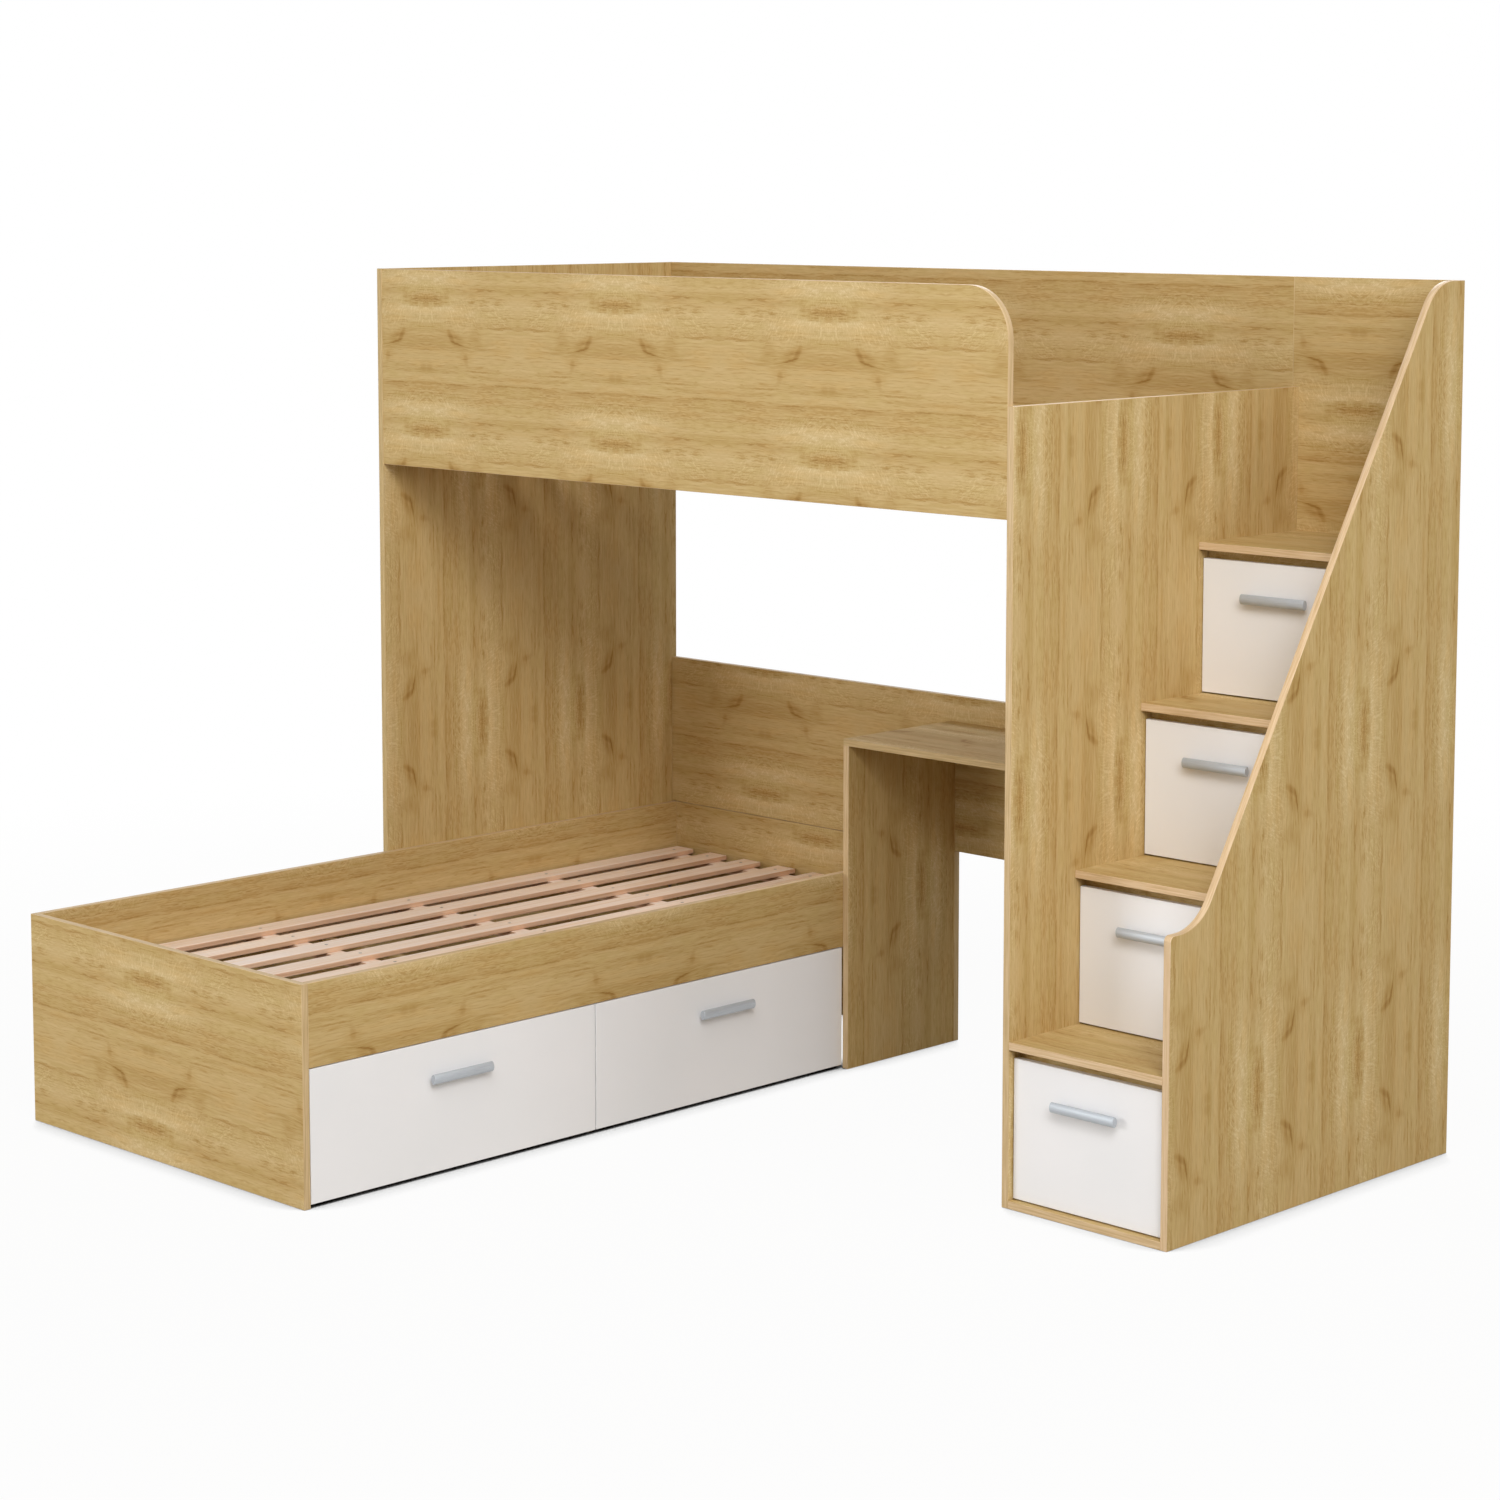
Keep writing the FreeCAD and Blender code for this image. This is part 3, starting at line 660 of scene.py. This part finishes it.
# heights from the floor, depths from the panel's front edge
stairRail = {
    "frontHeight": 608 * mm,
    "footDepth": 92.5 * mm,
    "headInset": 96.5 * mm,   # from the panel's back edge
    "frontRadius": 12 * mm,
    "footRadius": 112 * mm,
    "headRadius": 100 * mm,
    "arcSteps": 14,
}


def roundedOutline(bm, corners, normal):
    # a closed line of edges through corners, each (point, radius, steps), filled with one face
    chain = []
    for i, (corner, radius, steps) in enumerate(corners):
        if not radius:
            chain.append([bm.verts.new(corner)])
            continue
        toLast = (corners[i - 1][0] - corner).normalized()
        toNext = (corners[(i + 1) % len(corners)][0] - corner).normalized()
        half = toLast.angle(toNext) / 2
        start = bm.verts.new(corner + toLast * radius / math.tan(half))
        centre = corner + (toLast + toNext).normalized() * radius / math.sin(half)
        sweep = math.pi - 2 * half
        side = 1 if toLast.cross(toNext).dot(normal) < 0 else -1
        bmesh.ops.spin(bm, geom=[start], cent=centre, axis=normal, angle=side * sweep,
                       steps=steps, use_merge=False)
        arc = [start]
        while True:
            ahead = [e.other_vert(arc[-1]) for e in arc[-1].link_edges
                     if e.other_vert(arc[-1]) not in arc]
            if not ahead:
                break
            arc.append(ahead[0])
        chain.append(arc)
    for i, arc in enumerate(chain):
        bm.edges.new((arc[-1], chain[(i + 1) % len(chain)][0]))
    bmesh.ops.contextual_create(bm, geom=bm.edges[:])


def thicken(bm, vector):
    # pulls the one flat face into a board
    top = bmesh.ops.extrude_face_region(bm, geom=bm.faces[:], use_keep_orig=True)["geom"]
    bmesh.ops.translate(bm, vec=vector, verts=[v for v in top if isinstance(v, bmesh.types.BMVert)])
    bmesh.ops.recalc_face_normals(bm, faces=bm.faces)


def mapDecor(bm, board, thin):
    # the sheet runs over both faces; on the edge band it follows the edge
    along, across = board["along"], board["across"]
    longer, wider = board.get("print", (1.0, 1.0))
    lay = bm.loops.layers.uv.new("decor")
    pale = bm.faces.layers.float.new("paleBand")
    smoothRounding(bm)
    for face in bm.faces:
        onFace = abs(face.normal[thin]) > boardShape["faceCut"]
        face.material_index = 0 if onFace else 1
        face[pale] = board.get("pale", boardShape["pale"])
        for loop in face.loops:
            co = loop.vert.co
            if onFace:
                loop[lay].uv = ((co[along] - board["mirrorAt"] * mm) / longer,
                                (co[across] - board["streakAt"] * mm) * board["up"] / wider)
            else:
                loop[lay].uv = (co[along] + co[across], co[thin])


def shapeBoard(bm, node, low, high):
    # the guard has one round corner, the stair's outer panel is cut to its slope
    if node == "upper_guard_panel":
        corners = [(low, 0, 0), (Vector((high.x, low.y, low.z)), 0, 0),
                   (Vector((high.x, low.y, high.z)), guardShape["cornerRadius"],
                    guardShape["arcSteps"]),
                   (Vector((low.x, low.y, high.z)), 0, 0)]
        roundedOutline(bm, corners, Vector((0, -1, 0)))
        thicken(bm, Vector((0, high.y - low.y, 0)))
    elif node == "stair_outer_panel":
        rail = stairRail
        steps = rail["arcSteps"]
        points = [(low.y, low.z, 0), (low.y, rail["frontHeight"], rail["frontRadius"]),
                  (low.y + rail["footDepth"], rail["frontHeight"], rail["footRadius"]),
                  (high.y - rail["headInset"], high.z, rail["headRadius"]),
                  (high.y, high.z, 0), (high.y, low.z, 0)]
        roundedOutline(bm, [(Vector((low.x, y, z)), radius, steps) for y, z, radius in points],
                       Vector((-1, 0, 0)))
        thicken(bm, Vector((high.x - low.x, 0, 0)))
    else:
        addBlock(bm, low, high)


def makeOakBoards():
    for node, board in oakBoards.items():
        whole = bmesh.new()
        for low, high in solidsOf(node):
            size = high - low
            thin = min(range(3), key=lambda i: size[i])
            low[thin] += boardShape["skin"]
            high[thin] -= boardShape["skin"]
            bm = bmesh.new()
            shapeBoard(bm, node, low, high)
            sharp = [edge for edge in bm.edges
                     if edge.calc_face_angle(0) > math.radians(boardShape["sharpAngle"])]
            roundEdges(bm, sharp, boardShape["arris"])
            bmesh.ops.recalc_face_normals(bm, faces=bm.faces)
            mapDecor(bm, treadStrip if thin in (board["along"], board["across"]) else board, thin)
            mesh = bpy.data.meshes.new("board")
            bm.to_mesh(mesh)
            bm.free()
            whole.from_mesh(mesh)
            bpy.data.meshes.remove(mesh)
        finishPiece("oak_" + node, whole, [oakDecor, edgeBand], "root", [node])


makeOakBoards()
print("oak boards are made")


slattedBases = {
    "arris": 2.0 * mm,
    "alongX": ["upper_slats", "upper_cleats", "lower_battens"],
    "alongY": ["lower_slats", "lower_cleats", "upper_battens"],
}


def makeSlattedBases():
    for axis, names in enumerate((slattedBases["alongX"], slattedBases["alongY"])):
        for node in names:
            bm = bmesh.new()
            for low, high in solidsOf(node):
                addBlock(bm, low, high)
            roundEdges(bm, bm.edges[:], slattedBases["arris"])
            smoothRounding(bm)
            finishPiece("softwood_" + node, bm, [softwood[axis]], "root", [node])


makeSlattedBases()
print("slatted bases are made")


drawerLooks = {
    "frontArris": 0.8 * mm,
    "wall": 12 * mm,
    "wallArris": 0.6 * mm,
}


def makeDrawerBoards(name, outward):
    # the front and the three walls behind it
    low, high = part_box(name + "_front")
    bm = bmesh.new()
    addBlock(bm, low, high)
    roundEdges(bm, bm.edges[:], drawerLooks["frontArris"])
    smoothRounding(bm)
    finishPiece("white_" + name + "_front", bm, [whiteMelamine], name,
                [name + "_front"])
    low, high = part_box(name + "_box")
    wall = drawerLooks["wall"]
    depth = 1 if abs(outward.y) > 0.5 else 0
    width = 1 - depth
    bm = bmesh.new()
    for start, end in ((low[width], low[width] + wall), (high[width] - wall, high[width])):
        wallLow, wallHigh = low.copy(), high.copy()
        wallLow[width], wallHigh[width] = start, end
        addBlock(bm, wallLow, wallHigh)
    backLow, backHigh = low.copy(), high.copy()
    backLow[width], backHigh[width] = low[width] + wall, high[width] - wall
    if outward[depth] > 0:
        backHigh[depth] = low[depth] + wall
    else:
        backLow[depth] = high[depth] - wall
    addBlock(bm, backLow, backHigh)
    roundEdges(bm, bm.edges[:], drawerLooks["wallArris"])
    smoothRounding(bm)
    finishPiece("white_" + name + "_box", bm, [boxMelamine], name, [name + "_box"])
    bottom = frame["nodes"][name + "_bottom"]
    bottom.data.materials.clear()
    bottom.data.materials.append(fibreboard)


handleShape = {
    "length": 158 * mm,
    "height": 21 * mm,
    "thickness": 14 * mm,
    "standoff": 16 * mm,      # front face to the middle of the bar
    "endRound": 1.0 * mm,
    "endSegments": 4,
    "endAngle": 60,           # degrees; only the bar's ends are sharper
    "postRadius": 4.5 * mm,
    "postSpacing": 128 * mm,
    "postSegments": 24,
    "segments": 40,
    "screwHead": 4.0 * mm,
    "screwHeadHeight": 2.5 * mm,
    "recess": (2.6 * mm, 0.9 * mm, 1.3 * mm),   # half span, slot width and depth of the cross
}


headShape = {
    "flat": 0.86,             # share of the radius that is flat on top
    "slope": 0.18,            # share of the height that the sloping rim takes
    "inner": 0.9,             # grid corners within this share of the span belong to the slots
}


def addHead(bm, place, radius, height, recess, segments=24):
    # a round screw head with a cross recess, standing on z = 0 and then moved by place
    span, slot, depth = recess
    flat, slope = headShape["flat"], headShape["slope"]
    grid = bmesh.ops.create_grid(bm, x_segments=3, y_segments=3, size=span)["verts"]
    for vert in grid:
        for axis in (0, 1):
            if abs(vert.co[axis]) < span * headShape["inner"]:
                vert.co[axis] = math.copysign(slot / 2, vert.co[axis])
    faces = list({f for v in grid for f in v.link_faces})
    cross = [f for f in faces if min(abs(f.calc_center_median().x),
                                     abs(f.calc_center_median().y)) < slot / 4]
    rim = [e for e in {e for f in faces for e in f.edges} if e.is_boundary]
    sunk = bmesh.ops.extrude_face_region(bm, geom=cross)["geom"]
    sunkVerts = [v for v in sunk if isinstance(v, bmesh.types.BMVert)]
    bmesh.ops.translate(bm, vec=(0, 0, -depth), verts=sunkVerts)
    ring = bmesh.ops.create_circle(bm, segments=segments, radius=radius * flat)["verts"]
    ringEdges = list({e for v in ring for e in v.link_edges})
    bmesh.ops.bridge_loops(bm, edges=rim + ringEdges)
    edges, new = ringEdges, list(ring)
    for drop, spread in ((height * slope, 1 / flat), (height * (1 - slope), 1.0)):
        out = bmesh.ops.extrude_edge_only(bm, edges=edges)["geom"]
        verts = [v for v in out if isinstance(v, bmesh.types.BMVert)]
        bmesh.ops.scale(bm, vec=(spread, spread, 1), verts=verts)
        bmesh.ops.translate(bm, vec=(0, 0, -drop), verts=verts)
        edges = [e for e in out if isinstance(e, bmesh.types.BMEdge)
                 and all(v in verts for v in e.verts)]
        new += verts
    allVerts = set(grid) | set(sunkVerts) | set(new)
    bmesh.ops.translate(bm, vec=(0, 0, height), verts=list(allVerts))
    bmesh.ops.transform(bm, matrix=place, verts=list(allVerts))


def facing(direction, place):
    # turns +Z to a direction and moves the origin to a place
    return Matrix.Translation(place) @ direction.to_track_quat("Z", "Y").to_matrix().to_4x4()


def addRod(bm, start, direction, length, radius, segments):
    place = facing(direction, start + direction * length / 2)
    bmesh.ops.create_cone(bm, cap_ends=True, cap_tris=False, segments=segments, radius1=radius,
                          radius2=radius, depth=length, matrix=place)


def makeHandle(name, outward):
    shape = handleShape
    low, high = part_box(name + "_handle")
    frontLow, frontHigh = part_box(name + "_front")
    middle = (low + high) / 2
    depth = 1 if abs(outward.y) > 0.5 else 0
    faceAt = frontHigh[depth] if outward[depth] > 0 else frontLow[depth]
    backAt = frontLow[depth] if outward[depth] > 0 else frontHigh[depth]
    along = Vector((0, 1, 0)) if depth == 0 else Vector((1, 0, 0))
    bm = bmesh.new()
    centre = middle.copy()
    centre[depth] = faceAt
    centre += outward * shape["standoff"]
    bar = bmesh.ops.create_cone(bm, cap_ends=True, cap_tris=False, segments=shape["segments"],
                                radius1=1, radius2=1, depth=shape["length"])["verts"]
    bmesh.ops.scale(bm, vec=(shape["thickness"] / 2, shape["height"] / 2, 1), verts=bar)
    sideways = Matrix((outward, Vector((0, 0, 1)), outward.cross(Vector((0, 0, 1))))).transposed()
    bmesh.ops.transform(bm, matrix=Matrix.Translation(centre) @ sideways.to_4x4(), verts=bar)
    rims = [edge for edge in bm.edges
            if edge.calc_face_angle(0) > math.radians(shape["endAngle"])]
    roundEdges(bm, rims, shape["endRound"], shape["endSegments"])
    half = shape["postSpacing"] / 2
    for side in (-1, 1):
        foot = centre + along * side * half
        foot[depth] = faceAt
        addRod(bm, foot, outward, shape["standoff"], shape["postRadius"], shape["postSegments"])
    count = len(bm.faces)
    for side in (-1, 1):
        head = centre + along * side * half
        head[depth] = backAt
        addHead(bm, facing(-outward, head), shape["screwHead"], shape["screwHeadHeight"],
                shape["recess"])
    bm.faces.ensure_lookup_table()
    for i, face in enumerate(bm.faces):
        face.material_index = 1 if i >= count else 0
        face.smooth = len(face.verts) == 4
    brushAxis = 0 if depth == 1 else 1
    finishPiece("satin_" + name + "_handle", bm, [aluminium[brushAxis], camZinc], name,
                [name + "_handle"])


drawerNames = [body for body in frame["bodies"] if body != "root"]
for name in drawerNames:
    outward = Vector((1, 0, 0)) if name.startswith("lower") else Vector((0, -1, 0))
    makeDrawerBoards(name, outward)
    makeHandle(name, outward)
for node, piece in frame["nodes"].items():
    if node.endswith(("_runners", "_rails")):
        piece.data.materials.clear()
        piece.data.materials.append(runnerZinc)
print("drawers are made:", len(drawerNames))


fastenerLooks = {
    "camRadius": 7.5 * mm,
    "camRecess": (3.4 * mm, 1.3 * mm, 2.0 * mm),
    "discShare": 1.6,         # of the cam radius: a solid narrower than this is a bolt, not a disc
    "screwRadius": 4.0 * mm,
    "screwProud": 0.15 * mm,
    "screwRecess": (2.0 * mm, 0.8 * mm, 1.2 * mm),
    "screwSegments": 16,
}


def makeCams():
    # the disc that shows in each board; its bolt is inside
    looks = fastenerLooks
    boards = [corners for node in oakBoards for corners in solidsOf(node)]
    skin = boardShape["skin"]
    bm = bmesh.new()
    for low, high in solidsOf("cam_fittings"):
        size = high - low
        depth = min(range(3), key=lambda i: size[i])
        if sorted(size)[1] < looks["discShare"] * looks["camRadius"]:
            continue
        middle = (low + high) / 2
        for start, end in boards:
            if not all(start[i] < middle[i] < end[i] for i in range(3)):
                continue
            side = 1 if end[depth] - high[depth] < low[depth] - start[depth] else -1
            place = middle.copy()
            place[depth] = end[depth] - skin if side > 0 else start[depth] + skin
            normal = Vector([side if i == depth else 0 for i in range(3)])
            addHead(bm, facing(normal, place), looks["camRadius"], skin, looks["camRecess"])
    for face in bm.faces:
        face.smooth = False
    finishPiece("zinc_cam_discs", bm, [camZinc], "root", ["cam_fittings"])


def makeSlatScrews():
    looks = fastenerLooks
    bm = bmesh.new()
    for low, high in solidsOf("slat_screws"):
        top = Vector(((low.x + high.x) / 2, (low.y + high.y) / 2, high.z))
        addHead(bm, facing(Vector((0, 0, 1)), top), looks["screwRadius"], looks["screwProud"],
                looks["screwRecess"], looks["screwSegments"])
    finishPiece("zinc_slat_screws", bm, [camZinc], "root", ["slat_screws"])


makeCams()
makeSlatScrews()
print("fasteners are made")
